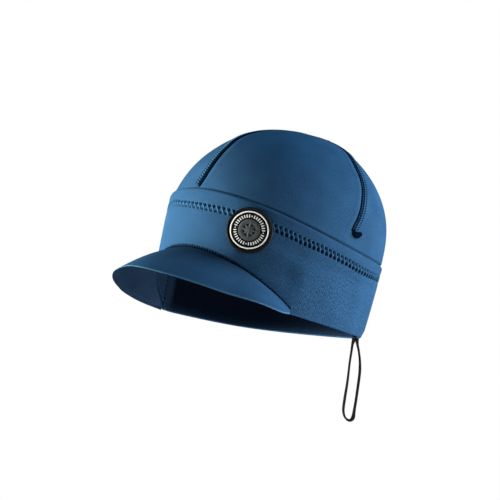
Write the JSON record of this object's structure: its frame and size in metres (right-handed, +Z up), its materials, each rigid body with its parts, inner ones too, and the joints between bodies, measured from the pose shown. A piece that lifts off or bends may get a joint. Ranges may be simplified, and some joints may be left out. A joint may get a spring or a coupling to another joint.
{
  "type": "visor beanie",
  "caption": "Close-fitting beanie of foam-backed stretch cloth with a two-part darted crown, a folded cuff, a short soft visor, a round rubber badge and a tape loop.",
  "frame": {"origin": "centre of the head opening, level with the middle of the hem", "axes": "+Z up along the head, -Y to the front where the visor is, +X to the wearer's left"},
  "size_m": [0.1733, 0.2495, 0.2319],
  "materials": {
    "cloth": "smooth jersey face on foam rubber, soft sheen",
    "badge_rubber": "satin moulded rubber",
    "badge_white": "satin moulded rubber",
    "badge_grey": "satin moulded rubber",
    "tape": "woven polyester tape"
  },
  "bodies": {
    "root": {"cuff": "cloth", "crown_left": "cloth", "crown_right": "cloth", "visor": "cloth", "badge_disc": "badge_rubber", "badge_border": "badge_white", "badge_star": "badge_grey", "loop_tab": "tape", "leash_loop": "tape"}
  },
  "joints": []
}
